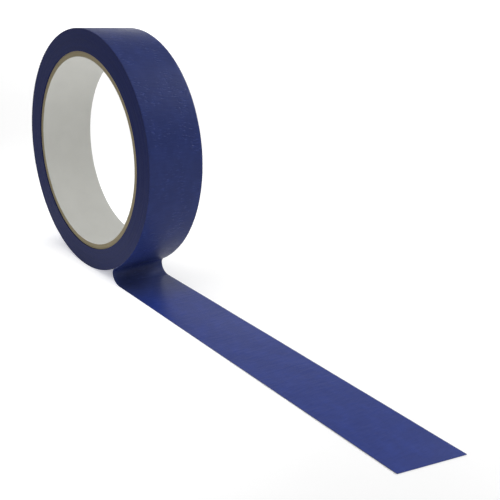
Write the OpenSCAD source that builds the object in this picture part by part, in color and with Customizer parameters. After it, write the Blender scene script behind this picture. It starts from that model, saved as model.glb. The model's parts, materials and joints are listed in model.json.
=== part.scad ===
// Masking tape roll: a paper tube core, the tape wound on it, and a strip pulled off and laid flat.
// Origin: centre of the core. Y is the roll's axis, X points along the laid strip and Z is up.
// The roll stands on its tread. The strip lies at the same level with its adhesive side down.

/* [Core] */
// Inner diameter of the paper tube
core_id = 76.2; // [70:0.1:78]
// Outer diameter of the paper tube
core_od = 80.7; // [79:0.1:84]
// Thickness of the white paper liner
liner_t = 0.2; // [0.1:0.05:0.4]
// How far each end of the tube lies below the side face of the tape
core_inset = 0.4; // [0:0.05:1]
// Width of the gap in each ply's butt seam
seam_gap = 0.25; // [0.1:0.05:1]
// Slant of the butt seams from the direction around the tube
seam_slant = 27; // [27:1:45]
// Turn of the innermost board ply's seam from the top of the tube
seam_start = 150; // [0:1:180]
// Turn of each ply's seam from the one inside it
seam_step = 118; // [100:1:140]

/* [Tape] */
// Width of the tape
tape_w = 24; // [18:1:30]
// Diameter over the wound tape
roll_od = 98.4; // [88:0.2:130]
// Thickness of the crepe paper backing
backing_t = 0.1; // [0.06:0.01:0.3]
// Thickness of the adhesive coat
adhesive_t = 0.04; // [0.02:0.01:0.1]

/* [Strip] */
// Inner radius of the bend that turns the strip from the roll onto the ground
bend_r = 4; // [2:0.5:8]
// Distance from the roll's axis to the middle of the strip's cut end
strip_reach = 178; // [80:1:400]
// Slant of the cut end from square
end_slant = 13.5; // [-30:0.5:30]

/* [Clearance] */
// Gap between the turning roll and the bend of the strip
roll_gap = 0.03; // [0.02:0.01:0.2]
// Gap between the bend and the flat strip
strip_gap = 0.02; // [0.02:0.01:0.1]

/* [Hidden] */
$fn = 180;
tape_t = backing_t + adhesive_t;
roll_r = roll_od / 2;
ground_z = -roll_r;
core_w = tape_w - 2 * core_inset;
ply_count = 3;
board_r = core_id / 2 + liner_t;
ply_t = (core_od / 2 - board_r) / ply_count;
bend_reach = roll_r + roll_gap + tape_t + bend_r;
bend_z = ground_z + tape_t + bend_r;
bend_x = sqrt(bend_reach * bend_reach - bend_z * bend_z);
bend_from = atan2(-bend_z, -bend_x);
end_shift = tan(end_slant) * tape_w / 2;
liner_color = [0.78, 0.78, 0.76];
board_color = [0.47, 0.43, 0.36];
tape_color = [0.14, 0.17, 0.44];
adhesive_color = [0.50, 0.52, 0.60];

// Ring about the Y axis, centred on the origin
module ring(inner_r, outer_r, width)
{
    rotate([90, 0, 0])
        difference()
        {
            cylinder(r = outer_r, h = width, center = true);
            cylinder(r = inner_r, h = width + 2, center = true);
        }
}

// Slanted slab that opens one side of a ring, as a butt seam does
module seam_slab(outer_r, turn)
{
    slab_l = 3 * tape_w / sin(seam_slant);
    rotate([0, turn, 0])
        rotate([0, 0, seam_slant])
            translate([-slab_l / 2, -seam_gap / 2, outer_r / 2])
                cube([slab_l, seam_gap, outer_r]);
}

// Board ply of the tube, counted from the inside, open along its seam
module board_ply(index)
{
    inner_r = board_r + index * ply_t;
    outer_r = inner_r + ply_t;
    color(board_color)
        difference()
        {
            ring(inner_r, outer_r, core_w);
            seam_slab(outer_r, seam_start + index * seam_step);
        }
}

// Layer of the strip's bend, between two radii about the bend's own axis
module bend_layer(inner_r, outer_r)
{
    translate([bend_x, 0, bend_z])
        rotate([90, 0, 0])
            rotate([0, 0, bend_from])
                rotate_extrude(angle = 270 - bend_from)
                    translate([inner_r, -tape_w / 2])
                        square([outer_r - inner_r, tape_w]);
}

// Layer of the flat strip with its slanted cut end
module tail_layer(bottom_z, thickness)
{
    start_x = bend_x + strip_gap;
    side_y = tape_w / 2;
    translate([0, 0, bottom_z])
        linear_extrude(height = thickness)
            polygon([
                [start_x, -side_y],
                [strip_reach - end_shift, -side_y],
                [strip_reach + end_shift, side_y],
                [start_x, side_y]
            ]);
}

// White paper ply that forms the wall of the bore
module core_liner()
{
    color(liner_color)
        ring(core_id / 2, board_r, core_w);
}

// Board ply that carries the liner
module core_ply_inner()
{
    board_ply(0);
}

// Board ply between the other two
module core_ply_middle()
{
    board_ply(1);
}

// Board ply that the first turn of tape is stuck to
module core_ply_outer()
{
    board_ply(2);
}

// All the turns of tape that are still on the roll
module tape_winding()
{
    color(tape_color)
        ring(core_od / 2, roll_r, tape_w);
}

// Backing of the strip where it leaves the roll and turns onto the ground
module bend_backing()
{
    color(tape_color)
        bend_layer(bend_r, bend_r + backing_t);
}

// Adhesive coat below the backing of the bend
module bend_adhesive()
{
    color(adhesive_color)
        bend_layer(bend_r + backing_t, bend_r + tape_t);
}

// Backing of the strip that lies flat
module tail_backing()
{
    color(tape_color)
        tail_layer(ground_z + adhesive_t, backing_t);
}

// Adhesive coat below the backing of the flat strip
module tail_adhesive()
{
    color(adhesive_color)
        tail_layer(ground_z, adhesive_t);
}

core_liner();
core_ply_inner();
core_ply_middle();
core_ply_outer();
tape_winding();
bend_backing();
bend_adhesive();
tail_backing();
tail_adhesive();
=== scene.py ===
"""Masking tape roll: the looks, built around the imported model.

Lengths are in metres, unless a name or a comment says mm. Y is the roll's axis, X runs along the strip that
lies on the ground, and Z is up. An angle about the axis starts at +X and turns towards +Z.
"""

import json
import math

import bpy
import numpy as np
from mathutils import Matrix, Vector

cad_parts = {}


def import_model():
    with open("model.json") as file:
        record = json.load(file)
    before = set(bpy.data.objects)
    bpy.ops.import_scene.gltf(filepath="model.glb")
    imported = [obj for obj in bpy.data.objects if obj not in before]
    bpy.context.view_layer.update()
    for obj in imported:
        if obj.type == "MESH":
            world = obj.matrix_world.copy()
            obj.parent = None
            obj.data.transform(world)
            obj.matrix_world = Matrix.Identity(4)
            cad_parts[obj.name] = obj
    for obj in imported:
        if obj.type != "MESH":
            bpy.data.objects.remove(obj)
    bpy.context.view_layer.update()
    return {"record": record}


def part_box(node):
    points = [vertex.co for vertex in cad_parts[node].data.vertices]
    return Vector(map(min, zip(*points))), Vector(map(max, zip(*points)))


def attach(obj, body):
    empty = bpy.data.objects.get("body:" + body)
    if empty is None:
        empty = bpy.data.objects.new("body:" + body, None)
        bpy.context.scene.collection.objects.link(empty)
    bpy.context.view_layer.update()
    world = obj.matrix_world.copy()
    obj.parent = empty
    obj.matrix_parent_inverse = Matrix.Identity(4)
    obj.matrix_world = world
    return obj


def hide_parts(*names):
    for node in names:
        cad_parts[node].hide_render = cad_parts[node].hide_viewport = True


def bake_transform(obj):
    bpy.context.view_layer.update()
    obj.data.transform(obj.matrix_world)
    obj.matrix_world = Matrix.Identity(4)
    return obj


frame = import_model()

MM = 0.001
TURN = 2 * math.pi
TINY = 1e-7

# ---------------------------------------------------------------- sizes, from the frame

STRIP_GAP = 0.02 * MM  # between the bend's solids and the flat strip's
END_SLANT = math.radians(13.5)


def outer_radius(node):
    """Radius of the outer wall of a ring's CAD node."""
    low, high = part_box(node)
    return max(high.x, high.z, -low.x, -low.z)


BORE_R = next(m for m in frame["record"]["mounts"] if m["name"] == "core_bore")["dims"]["r_mm"] * MM
LINER_R = outer_radius("core_liner")
PLY_NODES = ("core_ply_inner", "core_ply_middle", "core_ply_outer")
PLY_R = [outer_radius(n) for n in PLY_NODES]
ROLL_R = outer_radius("tape_winding")
TAPE_HALF_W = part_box("tape_winding")[1].y
CORE_HALF_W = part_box("core_liner")[1].y
TAIL_LOW, TAIL_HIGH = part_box("tail_backing")
GROUND_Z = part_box("tail_adhesive")[0].z
GLUE_T = TAIL_LOW.z - GROUND_Z
TAPE_T = TAIL_HIGH.z - GROUND_Z
BACKING_T = TAPE_T - GLUE_T
BEND_X = TAIL_LOW.x - STRIP_GAP
BEND_R = BEND_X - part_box("bend_backing")[0].x - BACKING_T
PEEL_GAP = math.hypot(BEND_X, GROUND_Z + TAPE_T + BEND_R) - BEND_R - TAPE_T - ROLL_R
END_SLOPE = math.tan(END_SLANT)
TAIL_REACH = TAIL_HIGH.x - END_SLOPE * TAPE_HALF_W

# ---------------------------------------------------------------- noise and crepe relief


def smooth(t):
    """Smooth step of a share from 0 to 1."""
    return t * t * (3 - 2 * t)


class Noise:
    """Smooth lattice noise from -1 to 1, the same in every run."""

    SIZE = 256

    def __init__(self, seed):
        self.table = np.random.default_rng(seed).random((self.SIZE, self.SIZE)) * 2 - 1

    def __call__(self, u, v, wrap=None):
        """The noise at u, v, in cells. With wrap, it repeats after that many cells of u."""
        u, v = np.broadcast_arrays(np.asarray(u, float), np.asarray(v, float))
        iu, iv = np.floor(u).astype(int), np.floor(v).astype(int)
        fu, fv = smooth(u - iu), smooth(v - iv)
        span = wrap or self.SIZE
        a, b = iu % span % self.SIZE, (iu + 1) % span % self.SIZE
        c, d = iv % self.SIZE, (iv + 1) % self.SIZE
        low = self.table[a, c] * (1 - fu) + self.table[b, c] * fu
        high = self.table[a, d] * (1 - fu) + self.table[b, d] * fu
        return low * (1 - fv) + high * fv


RIDGE_NOISE, FINE_NOISE, SWELL_NOISE = Noise(11), Noise(12), Noise(13)
EDGE_NOISE, BOARD_NOISE, DRIFT_NOISE = Noise(21), Noise(31), Noise(41)

# Sizes in mm, along and across the tape, of the ridges, the fine ridges on them, the broad swells under them,
# and of the way they wander along the tape.
RIDGE_CELL, FINE_CELL, SWELL_CELL, WANDER_CELL = (0.85, 4.5), (0.45, 1.8), (6, 8), (9, 7)
MEAN_HEIGHT, RIDGE_SHARE, FINE_SHARE, SWELL_SHARE = 0.5, 0.36, 0.22, 0.12
WANDER_MM = 0.6
DEEPEST = 1.2  # where the deepest furrows are cut off
CREPE_DEPTH = 0.045 * MM


def crepe_depth(u, v):
    """Depth of the crepe wrinkles below the paper's face, for a place u along and v across the tape."""
    u, v = u / MM, v / MM

    def cells(noise, size, shift=0):
        return noise((u + shift) / size[0], v / size[1])

    wander = WANDER_MM * cells(SWELL_NOISE, WANDER_CELL)
    height = MEAN_HEIGHT + RIDGE_SHARE * cells(RIDGE_NOISE, RIDGE_CELL, wander)
    height = height + FINE_SHARE * cells(FINE_NOISE, FINE_CELL, wander)
    height = height + SWELL_SHARE * cells(SWELL_NOISE, SWELL_CELL)
    return CREPE_DEPTH * np.clip(1 - height, 0, DEEPEST) / DEEPEST


# ---------------------------------------------------------------- path of the bend

FOOT_R = 6.5 * MM  # of the strip's visible face where it meets the ground
EASE_TURN = math.radians(100)  # over which it tightens
BEND_STEPS = 130
LEAST_SWEEP, MOST_SWEEP = math.radians(140), math.radians(165)
HALVINGS = 50


def bend_profile(sweep):
    """The strip's visible face from the flat part up to the roll: gentle at the ground, tight under the roll.

    Gives the turn so far, x, z and length at each station, and how far its end misses the roll.
    """
    turn = np.linspace(0, sweep, BEND_STEPS)

    def total(values):
        """Running integral over the turn."""
        return np.concatenate([[0], np.cumsum((values[1:] + values[:-1]) / 2 * np.diff(turn))])

    ease = smooth(np.clip(turn / EASE_TURN, 0, 1))
    reach = ROLL_R + PEEL_GAP + TAPE_T
    rise = reach * math.cos(sweep) - GROUND_Z - TAPE_T
    tight = (rise - FOOT_R * total(np.sin(turn) * (1 - ease))[-1]) / total(np.sin(turn) * ease)[-1]
    radius = FOOT_R * (1 - ease) + tight * ease
    x = BEND_X - total(np.cos(turn) * radius)
    z = GROUND_Z + TAPE_T + total(np.sin(turn) * radius)
    return turn, x, z, total(radius), x[-1] - reach * math.sin(sweep)


def bend_sweep():
    """The turn that brings the strip exactly onto the roll, found by halving."""
    low, high = LEAST_SWEEP, MOST_SWEEP
    sign = math.copysign(1, bend_profile(low)[-1])
    for _ in range(HALVINGS):
        mid = (low + high) / 2
        if bend_profile(mid)[-1] * sign > 0:
            low = mid
        else:
            high = mid
    return mid


BEND_TURN, BEND_PATH_X, BEND_PATH_Z, BEND_RUN = bend_profile(bend_sweep())[:4]
PEEL_ANGLE = math.pi / 2 - BEND_TURN[-1]  # about the axis, where the strip leaves the roll
PEEL_ALONG = BEND_X - BEND_RUN[-1]  # the same point's place along the strip

# ---------------------------------------------------------------- mesh helpers

SHARP_EDGE = math.radians(40)


def mesh_object(name, verts, faces, material, smooth_faces=True, strip_mm=None):
    """A mesh object. strip_mm gives each vertex its place along and across the strip, for the material."""
    mesh = bpy.data.meshes.new(name)
    verts = np.asarray(verts, np.float32).reshape(-1, 3)
    mesh.from_pydata([], [], [])
    mesh.vertices.add(len(verts))
    mesh.vertices.foreach_set("co", verts.ravel())
    sizes = np.array([len(f) for f in faces], np.int32)
    mesh.loops.add(int(sizes.sum()))
    mesh.loops.foreach_set("vertex_index", np.concatenate([np.asarray(f, np.int32) for f in faces]))
    mesh.polygons.add(len(faces))
    mesh.polygons.foreach_set("loop_start", np.concatenate([[0], np.cumsum(sizes)[:-1]]).astype(np.int32))
    mesh.polygons.foreach_set("use_smooth", np.full(len(faces), smooth_faces))
    mesh.update(calc_edges=True)
    mesh.validate()
    if strip_mm is not None:
        layer = mesh.attributes.new("strip_mm", "FLOAT_VECTOR", "POINT")
        layer.data.foreach_set("vector", np.asarray(strip_mm, np.float32).ravel())
    mesh.set_sharp_from_angle(angle=SHARP_EDGE)
    mesh.materials.append(material)
    obj = bpy.data.objects.new(name, mesh)
    bpy.context.scene.collection.objects.link(obj)
    return obj


def grid_faces(rows, cols, wrap_rows=False, wrap_cols=False):
    """Quads over a grid of rows x cols vertices, as an array of vertex numbers."""
    r = np.arange(rows if wrap_rows else rows - 1)
    c = np.arange(cols if wrap_cols else cols - 1)
    r, c = np.meshgrid(r, c, indexing="ij")
    r2, c2 = (r + 1) % rows, (c + 1) % cols
    quads = np.stack([r * cols + c, r * cols + c2, r2 * cols + c2, r2 * cols + c], -1)
    return quads.reshape(-1, 4)


def box_outline(low, high, low_y, high_y, n_wall, n_end):
    """Closed outline (r, y) of a ring's section: inner wall, far end, outer wall, near end."""
    y = np.linspace(low_y, high_y, n_wall)
    r = np.linspace(low, high, n_end)
    inner = np.stack([np.full(n_wall, low), y], -1)
    far = np.stack([r[1:], np.full(n_end - 1, high_y)], -1)
    outer = np.stack([np.full(n_wall - 1, high), y[::-1][1:]], -1)
    near = np.stack([r[::-1][1:-1], np.full(n_end - 2, low_y)], -1)
    return np.concatenate([inner, far, outer, near])


# ---------------------------------------------------------------- materials


class Nodes:
    """A material's node tree, built line by line."""

    def __init__(self, name, roughness, specular):
        self.mat = bpy.data.materials.new(name)
        self.mat.use_nodes = True
        self.tree = self.mat.node_tree
        self.tree.nodes.clear()
        self.shader = self.add("ShaderNodeBsdfPrincipled", Roughness=roughness, Specular_IOR_Level=specular)
        self.add("ShaderNodeOutputMaterial", Surface=self.shader.outputs[0])

    def set(self, socket, value):
        """Links value to the socket, or sets it."""
        if isinstance(value, bpy.types.NodeSocket):
            self.tree.links.new(value, socket)
        else:
            socket.default_value = value

    def add(self, kind, props=None, **sockets):
        """A new node with those properties and inputs. A space in an input's name is written as _."""
        node = self.tree.nodes.new(kind)
        for key, value in (props or {}).items():
            setattr(node, key, value)
        for key, value in sockets.items():
            self.set(node.inputs[key.replace("_", " ")], value)
        return node

    def finish(self, colour, normal, roughness=None):
        """Sets the shader's varying inputs, and gives the material."""
        self.set(self.shader.inputs["Base Color"], colour)
        self.set(self.shader.inputs["Normal"], normal)
        if roughness is not None:
            self.set(self.shader.inputs["Roughness"], roughness)
        return self.mat

    def math(self, operation, *values):
        node = self.add("ShaderNodeMath", {"operation": operation})
        for socket, value in zip(node.inputs, values):
            self.set(socket, value)
        return node.outputs[0]

    def vector(self, operation, *values, out=0):
        node = self.add("ShaderNodeVectorMath", {"operation": operation})
        for socket, value in zip(node.inputs, values):
            self.set(socket, value)
        return node.outputs[out]

    def parts(self, vector):
        """The x, y and z of a vector."""
        node = self.add("ShaderNodeSeparateXYZ")
        self.set(node.inputs[0], vector)
        return node.outputs

    def grey(self, value):
        """One number as a vector of three."""
        return self.add("ShaderNodeCombineXYZ", X=value, Y=value, Z=value).outputs[0]

    def noise(self, vector, cells, detail, rough):
        """Noise with that many cells in one unit of vector: one number, or one along and one across."""
        if isinstance(cells, tuple):
            vector, cells = self.vector("MULTIPLY", vector, (*cells, 1)), 1.0
        node = self.add("ShaderNodeTexNoise", Scale=cells, Detail=detail, Roughness=rough)
        self.set(node.inputs["Vector"], vector)
        return node.outputs["Fac"]

    def band_noise(self, value, cells, detail):
        """Noise along one number, such as a radius."""
        props = {"noise_dimensions": "1D"}
        return self.add("ShaderNodeTexNoise", props, W=value, Scale=cells, Detail=detail).outputs["Fac"]

    def spread(self, value, low, high, to_low=0.0, to_high=1.0):
        """A smooth step from to_low to to_high, while value goes from low to high."""
        node = self.add("ShaderNodeMapRange", {"interpolation_type": "SMOOTHSTEP"}, Value=value)
        for key, number in (("From Min", low), ("From Max", high), ("To Min", to_low), ("To Max", to_high)):
            node.inputs[key].default_value = number
        return node.outputs["Result"]

    def mix(self, factor, a, b):
        node = self.add("ShaderNodeMix", {"data_type": "RGBA"})
        for index, value in ((0, factor), (6, a), (7, b)):
            self.set(node.inputs[index], value)
        return node.outputs[2]

    def tint(self, colour, noise, low, high, share, other):
        """colour with a share of the other one where the noise has risen from low to high."""
        return self.mix(self.math("MULTIPLY", self.spread(noise, low, high), share), colour, other)

    def total(self, *terms):
        """Sum of (value, share) terms."""
        products = [self.math("MULTIPLY", value, share) for value, share in terms]
        whole = products[0]
        for product in products[1:]:
            whole = self.math("ADD", whole, product)
        return whole

    def bump(self, height, depth):
        """Relief of that depth from a height between 0 and 1."""
        return self.add("ShaderNodeBump", Strength=1.0, Distance=depth, Height=height).outputs["Normal"]

    def object_mm(self):
        """Place on the object, in millimetres."""
        place = self.add("ShaderNodeTexCoord").outputs["Object"]
        return self.vector("MULTIPLY", place, (1 / MM, 1 / MM, 1 / MM))

    def radius(self, mm):
        """Distance from the roll's axis."""
        return self.vector("LENGTH", self.vector("MULTIPLY", mm, (1, 0, 1)), out=1)


def rgb(red, green, blue):
    """A colour as it looks on a screen, 0 to 255, in the linear values that the shader takes."""
    def linear(c):
        c /= 255
        return c / 12.92 if c <= 0.04045 else ((c + 0.055) / 1.055) ** 2.4
    return (linear(red), linear(green), linear(blue), 1.0)


# Linear colours of the crepe paper, and the painted shade on its slit edges. Off the roll the strip is one
# layer thick, and its tone there is painted light: paler for the light that comes through it, and in the bend
# also lifting the shade of the crevice under the roll.
ROLL_TONE = (0.0185, 0.0305, 0.129, 1.0)
BEND_PAINTED_LIGHT_TONE = (0.028, 0.0395, 0.124, 1.0)
TAIL_PAINTED_LIGHT_TONE = (0.0155, 0.0330, 0.192, 1.0)
SLIT_SHADE_TONE = (0.006, 0.0115, 0.070, 1.0)
# Where the bend's painted light starts and is full, in mm from the peeling point, and the tail's from the
# bend's foot.
BEND_LIGHT_FADE, TAIL_LIGHT_FADE = (-2, 6), (0, 26)
# Where the slit edge's painted shade is full and where it has faded, from the edge, in mm.
SLIT_SHADE_FADE = (0.03, 0.1)
# Brightness of the paper in a furrow, a painted shade; on a pale mottle; and on a raised dash, a painted
# highlight.
FURROW_SHADE, MOTTLE, DASH_GLINT = 0.93, 1.14, 1.3
CREPE_RELIEF = 0.05 * MM


def crepe_tone(n, strip, across):
    """The paper's colour along and across the strip, with painted light off the roll and painted shade at the
    slit edges.
    """
    along = n.parts(strip)[0]
    peel, foot = PEEL_ALONG / MM, BEND_X / MM
    # painted light: the strip is paler in the bend and on the tail
    tone = n.mix(n.spread(along, peel + BEND_LIGHT_FADE[0], peel + BEND_LIGHT_FADE[1]), ROLL_TONE, BEND_PAINTED_LIGHT_TONE)
    tone = n.mix(n.spread(along, foot + TAIL_LIGHT_FADE[0], foot + TAIL_LIGHT_FADE[1]), tone, TAIL_PAINTED_LIGHT_TONE)
    edge = TAPE_HALF_W / MM
    # painted shade along the slit edges of the paper
    slit = n.spread(n.math("ABSOLUTE", across), edge - SLIT_SHADE_FADE[1], edge - SLIT_SHADE_FADE[0])
    return n.mix(slit, tone, SLIT_SHADE_TONE)


def crepe_material(name, on_ground, patches):
    """Blue crepe paper with a satin release coat. patches is the strength of the raised dashes and of their
    painted highlight.

    The pattern follows the strip, or with on_ground the ground, where the strip lengthens as the roll moves.
    """
    n = Nodes(name, roughness=0.38, specular=0.14)
    strip = n.add("ShaderNodeAttribute", {"attribute_name": "strip_mm"}).outputs["Vector"]
    mm = n.vector("MULTIPLY", n.object_mm(), (1, 1, 0)) if on_ground else strip
    wrinkle = n.noise(mm, (1.2, 0.22), detail=3.0, rough=0.55)
    fine = n.noise(mm, (4.2, 0.9), detail=3.0, rough=0.6)
    fibre = n.noise(mm, (6.0, 5.0), detail=2.0, rough=0.6)
    mottle = n.noise(mm, (0.11, 0.16), detail=3.0, rough=0.6)
    patch = n.spread(n.noise(mm, (0.07, 0.13), detail=2.0, rough=0.5), 0.42, 0.6)
    dash = n.spread(n.noise(mm, (1.8, 0.42), detail=1.0, rough=0.4), 0.56, 0.68)
    dash = n.math("MULTIPLY", dash, n.math("MULTIPLY", patch, patches))
    # painted shade in the furrows of the wrinkles
    shade = n.spread(wrinkle, 0.32, 0.68, FURROW_SHADE, 1.0)
    shade = n.math("MULTIPLY", shade, n.spread(mottle, 0.4, 0.7, 1.0, MOTTLE))
    # painted highlight on the raised dashes
    shade = n.math("MULTIPLY", shade, n.math("ADD", 1.0, n.math("MULTIPLY", dash, DASH_GLINT - 1.0)))
    colour = n.vector("MULTIPLY", crepe_tone(n, strip, n.parts(mm)[1]), n.grey(shade))
    height = n.total((wrinkle, 0.5), (fine, 0.35), (fibre, 0.15), (dash, 1.1))
    return n.finish(colour, n.bump(height, depth=CREPE_RELIEF), n.spread(fine, 0.2, 0.8, 0.34, 0.44))


def wound_edge_material():
    """The slit edges of the wound turns: dark, matt, finely ringed."""
    n = Nodes("wound_tape_edge", roughness=0.55, specular=0.065)
    mm = n.object_mm()
    rings = n.band_noise(n.radius(mm), 3.4, detail=3.0)
    broad = n.band_noise(n.radius(mm), 0.45, detail=1.0)
    cloud = n.noise(mm, 0.055, detail=3.0, rough=0.55)
    grain = n.noise(mm, 3.2, detail=2.0, rough=0.6)
    colour = n.mix(n.spread(rings, 0.25, 0.75), rgb(10, 21, 63), rgb(14, 25, 74))
    colour = n.tint(colour, broad, 0.4, 0.7, share=0.4, other=rgb(16, 27, 77))
    colour = n.tint(colour, cloud, 0.4, 0.65, share=0.5, other=rgb(12, 23, 72))
    normal = n.bump(n.total((rings, 0.6), (grain, 0.4)), depth=0.02 * MM)
    return n.finish(colour, normal, n.spread(grain, 0.3, 0.7, 0.36, 0.48))


def board_material(name, tint):
    """Grey-brown recycled board with short fibres."""
    n = Nodes(name, roughness=0.85, specular=0.2)
    mm = n.object_mm()
    layers = n.band_noise(n.radius(mm), 5.0, detail=2.0)
    fibres = n.noise(mm, 2.6, detail=4.0, rough=0.65)
    blotch = n.noise(mm, 0.35, detail=3.0, rough=0.6)
    colour = n.mix(n.spread(layers, 0.3, 0.7), rgb(127, 117, 93), rgb(145, 134, 108))
    colour = n.tint(colour, fibres, 0.35, 0.7, share=0.5, other=rgb(110, 104, 82))
    colour = n.tint(colour, blotch, 0.45, 0.75, share=0.5, other=tint)
    return n.finish(colour, n.bump(fibres, depth=0.06 * MM))


def liner_material():
    """White machine-finished paper."""
    n = Nodes("liner_paper", roughness=0.7, specular=0.15)
    mm = n.object_mm()
    cloud = n.noise(mm, 0.12, detail=3.0, rough=0.6)
    fibres = n.noise(mm, 3.0, detail=3.0, rough=0.6)
    colour = n.mix(n.spread(cloud, 0.3, 0.7), rgb(187, 187, 182), rgb(190, 190, 185))
    colour = n.tint(colour, fibres, 0.5, 0.75, share=0.25, other=rgb(183, 183, 178))
    return n.finish(colour, n.bump(fibres, depth=0.02 * MM))


def adhesive_material():
    """The thin rubbery coat under the paper, with the blue of the paper through it."""
    n = Nodes("adhesive_coat", roughness=0.35, specular=0.5)
    mm = n.object_mm()
    streak = n.noise(mm, (0.12, 1.6), detail=3.0, rough=0.6)
    pock = n.noise(mm, 1.5, detail=3.0, rough=0.6)
    colour = n.mix(n.spread(streak, 0.3, 0.7), rgb(92, 104, 158), rgb(112, 122, 170))
    return n.finish(colour, n.bump(pock, depth=0.02 * MM), n.spread(pock, 0.3, 0.7, 0.25, 0.5))


CREPE = crepe_material("blue_crepe", on_ground=False, patches=1.0)
CREPE_TAIL = crepe_material("blue_crepe_tail", on_ground=True, patches=0.15)
EDGE = wound_edge_material()
BOARDS = [
    board_material("core_board_inner", rgb(138, 123, 102)),
    board_material("core_board_middle", rgb(131, 124, 92)),
    board_material("core_board_outer", rgb(134, 124, 104)),
]
LINER = liner_material()
GLUE = adhesive_material()

# ---------------------------------------------------------------- core

SEAM_SLANT = math.radians(27)
BOARD_SEAM, LINER_SEAM = 0.25 * MM, 0.1 * MM
BOARD_ROUGH, LINER_ROUGH = 0.12 * MM, 0.05 * MM  # depth of the ragged cut ends
LINER_TURN, FIRST_BOARD_TURN, NEXT_BOARD_TURN = 72, 150, 118  # places of the seams, in degrees
LINER_SEED, FIRST_BOARD_SEED, NEXT_BOARD_SEED = 5, 7, 11  # so that no two plies fray alike
PLY_CLEAR = 0.01 * MM  # between a ply and the one inside it
RING_STEPS = 540
WALL_POINTS, END_POINTS = 9, 5
# The ragged cut: fibres along the ply and through its thickness, and a longer fray.
FIBRE_CELL, FIBRE_LAYER, FRAY_CELL = 0.45 * MM, 0.16 * MM, 2.6 * MM
MEAN_CUT, FIBRE_CUT, FRAY_CUT = 0.5, 0.35, 0.15


def split_ring(name, low, high, turn, gap, rough, material, node, seed):
    """A wound ply of the core, open along one oblique seam, its cut ends slightly ragged.

    turn is where the seam crosses the middle, in degrees from +Z towards +X.
    """
    outline = box_outline(low, high, -CORE_HALF_W, CORE_HALF_W, WALL_POINTS, END_POINTS)
    size = len(outline)
    r, y = outline[:, 0], outline[:, 1]
    mid = (low + high) / 2
    open_angle = gap / math.sin(SEAM_SLANT) / mid
    phi = np.linspace(open_angle / 2, TURN - open_angle / 2, RING_STEPS)[:, None]
    shift = np.arcsin(y / (mid * math.tan(SEAM_SLANT)))[None, :]
    angle = math.radians(turn) + shift + phi
    fibre = BOARD_NOISE(angle * mid / FIBRE_CELL + seed, r[None, :] / FIBRE_LAYER + seed)
    fray = BOARD_NOISE(angle * mid / FRAY_CELL + 3 * seed, 0.5)
    depth = rough * (MEAN_CUT + FIBRE_CUT * fibre + FRAY_CUT * fray)
    at_end = np.abs(y)[None, :] > CORE_HALF_W - TINY
    y_cut = y[None, :] - np.sign(y)[None, :] * np.where(at_end, depth, 0)
    points = np.stack([r[None, :] * np.sin(angle), y_cut, r[None, :] * np.cos(angle)], -1)
    faces = [list(q[::-1]) for q in grid_faces(RING_STEPS, size, wrap_cols=True)]
    faces.append(list(range(size)))
    faces.append([(RING_STEPS - 1) * size + k for k in reversed(range(size))])
    obj = mesh_object(name, points, faces, material)
    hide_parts(node)
    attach(obj, "roll")
    return obj


liner = split_ring("liner_sheet", BORE_R, LINER_R, LINER_TURN, LINER_SEAM, LINER_ROUGH, LINER,
                   "core_liner", LINER_SEED)
inner_radii = [LINER_R] + PLY_R[:-1]
for index, node in enumerate(PLY_NODES):
    turn = FIRST_BOARD_TURN + NEXT_BOARD_TURN * index
    seed = FIRST_BOARD_SEED + NEXT_BOARD_SEED * index
    ply = split_ring(node.replace("core_ply", "board_ply"), inner_radii[index] + PLY_CLEAR, PLY_R[index],
                     turn, BOARD_SEAM, BOARD_ROUGH, BOARDS[index], node, seed)

# ---------------------------------------------------------------- wound tape

UNDER_R = ROLL_R - TAPE_T
TURNS = round((UNDER_R - PLY_R[-1]) / TAPE_T)
WALL_STEPS = 5
WALL_MARGIN = 0.2 * MM
# How deep a turn's slit edge lies, in mm: the mean, the spread from turn to turn, the slow and the quick
# change round each turn, and the groove between turns.
EDGE_MEAN, EDGE_OWN, EDGE_SLOW, EDGE_QUICK, GROOVE = 0.03, 0.012, 0.012, 0.006, 0.014
SLOW_CELLS, QUICK_CELLS = 24, 96  # round one turn
# Where a turn reads each noise: the step from turn to turn, and how far apart the two side faces are.
OWN_PLACE, SLOW_PLACE, QUICK_PLACE = (7.31, 40.0), (0.2, 30.0), (1.7, 60.0)


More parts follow.
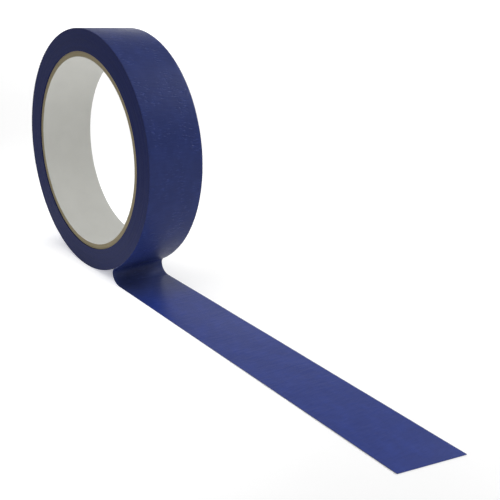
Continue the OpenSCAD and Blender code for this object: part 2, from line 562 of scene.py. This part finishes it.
def wound_turns():
    """Every turn below the last: each turn's slit edge stands at its own height on the two side faces."""
    edge = np.arange(2 * TURNS + 1)  # groove, crest, groove and so on, outward
    edge_r = np.linspace(PLY_R[-1] + PLY_CLEAR, UNDER_R, len(edge))
    face = np.ones(len(edge))
    wall = np.zeros(WALL_STEPS)
    wall_y = np.linspace(-1, 1, WALL_STEPS + 2)[1:-1] * (TAPE_HALF_W - WALL_MARGIN)
    r = np.concatenate([edge_r, wall + edge_r[-1], edge_r[::-1], wall + edge_r[0]])
    side = np.concatenate([face, wall, -face, wall])
    y = np.concatenate([face * TAPE_HALF_W, wall_y[::-1], -face * TAPE_HALF_W, wall_y])
    row = np.concatenate([edge // 2, wall, edge[::-1] // 2, wall])
    crest = np.concatenate([edge % 2, wall, edge[::-1] % 2, wall]) == 1
    angle = (np.arange(RING_STEPS) / RING_STEPS * TURN)[:, None]
    around = angle / TURN

    def place(step, apart):
        return (row * step + side * apart)[None, :]

    own = EDGE_NOISE(place(*OWN_PLACE), 0.5)
    slow = EDGE_NOISE(around * SLOW_CELLS, place(*SLOW_PLACE), wrap=SLOW_CELLS)
    quick = EDGE_NOISE(around * QUICK_CELLS, place(*QUICK_PLACE), wrap=QUICK_CELLS)
    depth = EDGE_MEAN + EDGE_OWN * own + EDGE_SLOW * slow + EDGE_QUICK * quick
    depth = MM * (depth + np.where(crest, 0, GROOVE)[None, :])
    y = y[None, :] - side[None, :] * depth
    points = np.stack(np.broadcast_arrays(r[None, :] * np.cos(angle), y, r[None, :] * np.sin(angle)), -1)
    faces = [list(q) for q in grid_faces(RING_STEPS, len(r), wrap_rows=True, wrap_cols=True)]
    obj = mesh_object("wound_turns", points, faces, EDGE)
    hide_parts("tape_winding")
    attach(obj, "roll")


TREAD_STEPS, TREAD_ACROSS = 1236, 37
TREAD_EASE = 0.03 * MM  # of the corner between the tread and the slit edge
SLIT_WANDER = 0.02 * MM
SLIT_CELLS = 60  # round the roll
SLIT_PLACE = (9, 20)  # where the two edges read the noise: half their distance, and the middle


def outer_turn():
    """The last wound turn, with its crepe face outward."""
    outer_y = np.linspace(-1, 1, TREAD_ACROSS) * (TAPE_HALF_W - TREAD_EASE)
    eased = [ROLL_R - TREAD_EASE]
    r = np.concatenate([[UNDER_R, UNDER_R], eased, np.full(TREAD_ACROSS, ROLL_R), eased])
    y = np.concatenate([[-TAPE_HALF_W, TAPE_HALF_W], [TAPE_HALF_W], outer_y[::-1], [-TAPE_HALF_W]])
    around = (np.arange(TREAD_STEPS) / TREAD_STEPS * TURN)[:, None]
    angle = PEEL_ANGLE + around
    along = PEEL_ALONG - ROLL_R * around + 0 * y[None, :]
    depth = np.where(r > ROLL_R - TINY, crepe_depth(along, y[None, :]), 0)
    rr = r[None, :] - depth
    place = np.sign(y)[None, :] * SLIT_PLACE[0] + SLIT_PLACE[1]
    wander = EDGE_NOISE(angle / TURN * SLIT_CELLS, place, wrap=SLIT_CELLS)
    at_slit = (np.abs(y) > TAPE_HALF_W - 2 * TREAD_EASE)[None, :]
    yy = y[None, :] - np.sign(y)[None, :] * SLIT_WANDER * (1 + wander) * at_slit
    points = np.stack([rr * np.cos(angle), yy + 0 * rr, rr * np.sin(angle)], -1)
    strip_mm = np.stack([along / MM, np.broadcast_to(y / MM, along.shape), 0 * along], -1)
    faces = [list(q) for q in grid_faces(TREAD_STEPS, len(r), wrap_rows=True, wrap_cols=True)]
    obj = mesh_object("outer_turn", points, faces, CREPE, strip_mm=strip_mm)
    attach(obj, "roll")


wound_turns()
outer_turn()

# ---------------------------------------------------------------- strip

# Stations across the strip, closer at its edges.
RIM = np.array([0, 0.03, 0.09, 0.18]) * MM
MIDDLE_STEPS = 29
MIDDLE = np.linspace(-1, 1, MIDDLE_STEPS + 2)[1:-1] * TAPE_HALF_W
ACROSS = np.concatenate([RIM - TAPE_HALF_W, MIDDLE, (TAPE_HALF_W - RIM)[::-1]])[None, :]


def sheet_mesh(name, top, bottom, material, strip_mm):
    """A thin closed sheet between two grids of points, with each point's place on the strip."""
    rows, cols = top.shape[:2]
    count = rows * cols
    quads = grid_faces(rows, cols)
    faces = [list(q) for q in quads] + [list(q[::-1] + count) for q in quads]
    number = np.arange(count).reshape(rows, cols)
    rim = [*number[0], *number[1:, -1], *number[-1, -2::-1], *number[-2:0:-1, 0]]
    for a, b in zip(rim, rim[1:] + rim[:1]):
        faces.append([b, a, a + count, b + count])
    points = np.concatenate([top.reshape(-1, 3), bottom.reshape(-1, 3)])
    strip_mm = np.concatenate([strip_mm.reshape(-1, 3)] * 2)
    return mesh_object(name, points, faces, material, strip_mm=strip_mm)


# The bend starts as a lip on the roll's face, where it is thin and close and grows out of the outer turn.
LIP = math.radians(12)
LIP_STEPS = 41
LIP_THIN = 0.08
LIP_GAP = 0.004 * MM


def bend_layer(name, below, thickness, material, crepe, node):
    """One layer of the strip from the roll's face, round the bend, to the ground.

    below is the thickness of the layers under it.
    """
    lip = np.linspace(LIP, 0, LIP_STEPS + 1)[:-1]
    turn = BEND_TURN[::-1]
    along = np.concatenate([PEEL_ALONG - ROLL_R * lip, BEND_X - BEND_RUN[::-1]])[:, None]
    share = np.concatenate([smooth(np.clip(1 - lip / LIP, 0, 1)), np.ones(len(turn))])[:, None]
    depth = crepe_depth(along, ACROSS) if crepe else 0
    thin = LIP_THIN + (1 - LIP_THIN) * share
    lip_angle = PEEL_ANGLE + lip
    angle = np.concatenate([lip_angle, math.pi / 2 - turn])[:, None]
    lip_r = ROLL_R + LIP_GAP + (PEEL_GAP - LIP_GAP) * share[:LIP_STEPS, 0]
    path_x = np.concatenate([lip_r * np.cos(lip_angle), BEND_PATH_X[::-1] - TAPE_T * np.sin(turn)])
    path_z = np.concatenate([lip_r * np.sin(lip_angle), BEND_PATH_Z[::-1] - TAPE_T * np.cos(turn)])

    def grid(height):
        x = path_x[:, None] + height * np.cos(angle)
        z = path_z[:, None] + height * np.sin(angle)
        return np.stack(np.broadcast_arrays(x, ACROSS, z), -1)

    top = grid((below + thickness - depth) * thin)
    bottom = grid(below * thin)
    flat = 0 * (along + ACROSS)
    strip_mm = np.stack([along / MM + flat, ACROSS / MM + flat, flat], -1)
    obj = sheet_mesh(name, top, bottom, material, strip_mm)
    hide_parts(node)
    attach(obj, "bend")


TAIL_STEPS = 520
CORNER = 0.18 * MM  # radius of the cut end's corners
FREE_END = 7 * MM  # over which the end comes loose
HELD = 12 * MM  # over which the strip starts to ripple, from the bend
RIPPLE_CELL, RIPPLE_PLACE = (19 * MM, 14 * MM), 5
RIPPLE_MEAN, RIPPLE_SWING = 0.05, 0.05  # mm
END_LIFT, CORNER_LIFT = 0.03, 0.05  # mm


def tail_layer(name, below, thickness, material, crepe, node):
    """One layer of the flat strip, from the bend's foot to the free end, built at one length; the strip on
    the ground lengthens as the bend moves away from the free end.
    """
    y = ACROSS
    into = np.clip(np.abs(y) - (TAPE_HALF_W - CORNER), 0, CORNER)
    end = TAIL_REACH + END_SLOPE * y - (CORNER - np.sqrt(CORNER**2 - into**2))
    x = BEND_X + (end - BEND_X) * np.linspace(0, 1, TAIL_STEPS)[:, None]
    depth = crepe_depth(x, y) if crepe else 0 * x
    free = np.clip(1 - (end - x) / FREE_END, 0, 1) ** 2
    held = np.clip((x - BEND_X) / HELD, 0, 1)
    ripple = RIPPLE_MEAN + RIPPLE_SWING * DRIFT_NOISE(x / RIPPLE_CELL[0], y / RIPPLE_CELL[1] + RIPPLE_PLACE)
    lift = MM * held * ripple * (1 - free)
    lift = lift + MM * free * (END_LIFT + CORNER_LIFT * np.abs(y / TAPE_HALF_W) ** 3)
    low = GROUND_Z + below + lift
    high = low + thickness - depth
    wide = y + 0 * x
    strip_mm = np.stack([x, wide, 0 * x], -1) / MM
    obj = sheet_mesh(name, np.stack([x, wide, high], -1), np.stack([x, wide, low], -1), material, strip_mm)
    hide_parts(node)
    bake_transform(obj)


bend_layer("bend_coat", 0, GLUE_T, GLUE, False, "bend_adhesive")
bend_layer("bend_crepe", GLUE_T, BACKING_T, CREPE, True, "bend_backing")
tail_layer("tail_coat", 0, GLUE_T, GLUE, False, "tail_adhesive")
tail_layer("tail_crepe", GLUE_T, BACKING_T, CREPE_TAIL, True, "tail_backing")

# ---------------------------------------------------------------- floor, light and camera

# The studio is dimmer in front of the roll: its level there, high up and at the horizon, and where it fades
# to the level behind, as y over distance.
FRONT_LEVEL, HORIZON_LEVEL = 0.36, 0.69
FRONT_FADE = (-0.2, 0.3)
# The floor's own glow rises from NEAR_GLOW to 1 between these distances from the roll.
NEAR_GLOW = 0.1
GLOW_REACH = (0.3, 2.0)
# Round pools of light on the floor: x, y, radius and strength. The front one ends at these y.
FRONT_POOL = (0.03, -0.08, 0.08, 1.2)
BACK_POOL = (0.12, 0.16, 0.16, 0.16)
LEFT_POOL = (-0.08, 0.02, 0.09, 0.24)
POOL_EDGE = (-0.02, 0.005)
FLOOR_HALF = 60.0
FLOOR_GAP = 0.02 * MM  # below the strip


def floor():
    """A pale matt floor. Its glow keeps it white in the picture, with three pools of light near the roll."""
    n = Nodes("pale_floor", roughness=0.9, specular=0.1)
    place = n.add("ShaderNodeTexCoord").outputs["Object"]
    grain = n.noise(place, 4.0, detail=2.0, rough=0.5)
    n.set(n.shader.inputs["Base Color"], n.mix(grain, (0.87, 0.87, 0.87, 1), (0.89, 0.89, 0.89, 1)))
    n.shader.inputs["Emission Color"].default_value = (1, 1, 1, 1)
    away = n.vector("LENGTH", place, out=1)
    side = n.parts(place)[1]
    behind = n.spread(n.math("DIVIDE", side, away), *FRONT_FADE, FRONT_LEVEL, 1.0)
    glow = n.math("MULTIPLY", n.spread(away, *GLOW_REACH, NEAR_GLOW, 1.0), behind)
    in_front = n.spread(side, *POOL_EDGE, 1.0, 0.0)
    for x, y, radius, strength, share in (*FRONT_POOL, in_front), (*BACK_POOL, 1.0), (*LEFT_POOL, 1.0):
        reach = n.math("DIVIDE", n.vector("DISTANCE", place, (x, y, GROUND_Z), out=1), radius)
        pool = n.math("POWER", math.e, n.math("MULTIPLY", n.math("MULTIPLY", reach, reach), -1.0))
        pool = n.math("MULTIPLY", pool, share)
        glow = n.math("ADD", glow, n.math("MULTIPLY", pool, strength))
    n.set(n.shader.inputs["Emission Strength"], glow)
    z = GROUND_Z - FLOOR_GAP
    corners = [(FLOOR_HALF * x, FLOOR_HALF * y, z) for x, y in ((-1, -1), (1, -1), (1, 1), (-1, 1))]
    obj = mesh_object("floor", corners, [[0, 1, 2, 3]], n.mat, smooth_faces=False)


LIGHT_AWAY, LIGHT_ACROSS = 2.0, 1.1
LIGHT_CENTRE = Vector((0.06, 0, 0))


def towards(azimuth, elevation):
    """Unit vector in that direction, in radians. Azimuth 0 is towards -Y, a quarter turn towards +X."""
    level = math.cos(elevation)
    return Vector((math.sin(azimuth) * level, -math.cos(azimuth) * level, math.sin(elevation)))


def soft_light(name, azimuth, elevation, power):
    """A round soft box that looks at the object from there, in degrees, with that power in watts."""
    away = towards(math.radians(azimuth), math.radians(elevation))
    light = bpy.data.lights.new(name, "AREA")
    light.shape = "DISK"
    light.size = LIGHT_ACROSS
    light.energy = power
    obj = bpy.data.objects.new(name, light)
    obj.location = LIGHT_CENTRE + LIGHT_AWAY * away
    obj.rotation_euler = away.to_track_quat("Z", "Y").to_euler()
    bpy.context.scene.collection.objects.link(obj)


SKY_GAIN = 1.2
SKY_STOPS = ((0.03, 1.0), (0.06, 0.62), (0.25, 0.3))  # height as a share of the way up, and brightness
FRONT_TOP = 0.22  # height at which the front of the studio has its own level


def world():
    """A plain studio: bright low down behind the roll, dimmer in front."""
    data = bpy.data.worlds.new("studio")
    bpy.context.scene.world = data
    data.use_nodes = True
    tree = data.node_tree

    def add(kind, **props):
        node = tree.nodes.new(kind)
        for key, value in props.items():
            setattr(node, key, value)
        return node

    back = tree.nodes["Background"]
    back.inputs["Color"].default_value = (1, 1, 1, 1)
    parts = add("ShaderNodeSeparateXYZ")
    tree.links.new(add("ShaderNodeTexCoord").outputs["Generated"], parts.inputs[0])
    ramp = add("ShaderNodeValToRGB")
    stops = ramp.color_ramp.elements
    stops.new(0.5)
    for stop, (height, value) in zip(stops, SKY_STOPS):
        stop.position = height
        stop.color = (value, value, value, 1)
    tree.links.new(parts.outputs["Z"], ramp.inputs["Fac"])
    gain = add("ShaderNodeMath", operation="MULTIPLY")
    tree.links.new(ramp.outputs["Color"], gain.inputs[0])
    gain.inputs[1].default_value = SKY_GAIN
    front = add("ShaderNodeMapRange", interpolation_type="SMOOTHSTEP")
    front.inputs["From Max"].default_value = FRONT_TOP
    front.inputs["To Min"].default_value, front.inputs["To Max"].default_value = HORIZON_LEVEL, FRONT_LEVEL
    tree.links.new(parts.outputs["Z"], front.inputs["Value"])
    fade = add("ShaderNodeMapRange")
    fade.inputs["From Min"].default_value, fade.inputs["From Max"].default_value = FRONT_FADE
    tree.links.new(parts.outputs["Y"], fade.inputs["Value"])
    level = add("ShaderNodeMix", data_type="FLOAT")
    tree.links.new(fade.outputs["Result"], level.inputs[0])
    tree.links.new(front.outputs["Result"], level.inputs[2])
    tree.links.new(gain.outputs[0], level.inputs[3])
    tree.links.new(level.outputs[0], back.inputs["Strength"])


def camera(azimuth, elevation, roll, distance, target, lens):
    """A camera that looks at target from that azimuth and elevation, turned by roll about its own axis."""
    roll = math.radians(roll)
    back = towards(math.radians(azimuth), math.radians(elevation))
    side = (-back).cross(Vector((0, 0, 1))).normalized()
    up = side.cross(-back)
    right = side * math.cos(roll) + up * math.sin(roll)
    top = up * math.cos(roll) - side * math.sin(roll)
    data = bpy.data.cameras.new("camera")
    data.sensor_width, data.lens = 36, lens
    data.clip_start, data.clip_end = 0.01, 50
    obj = bpy.data.objects.new("camera", data)
    turned = Matrix((right, top, back)).transposed().to_4x4()
    obj.matrix_world = Matrix.Translation(Vector(target) + back * distance) @ turned
    bpy.context.scene.collection.objects.link(obj)
    bpy.context.scene.camera = obj


floor()
world()
soft_light("top", 0, 90, 4.2)
soft_light("front", 0, 60, 4.8)
soft_light("back_right", 135, 30, 1.2)
soft_light("back", 180, 30, 33.0)
soft_light("back_left", 225, 10, 4.3)
camera(48.93, 20.83, 4.16, 0.26147, (0.09384, 0, -0.01342), 55.38)
bpy.context.scene.view_settings.view_transform = "Standard"
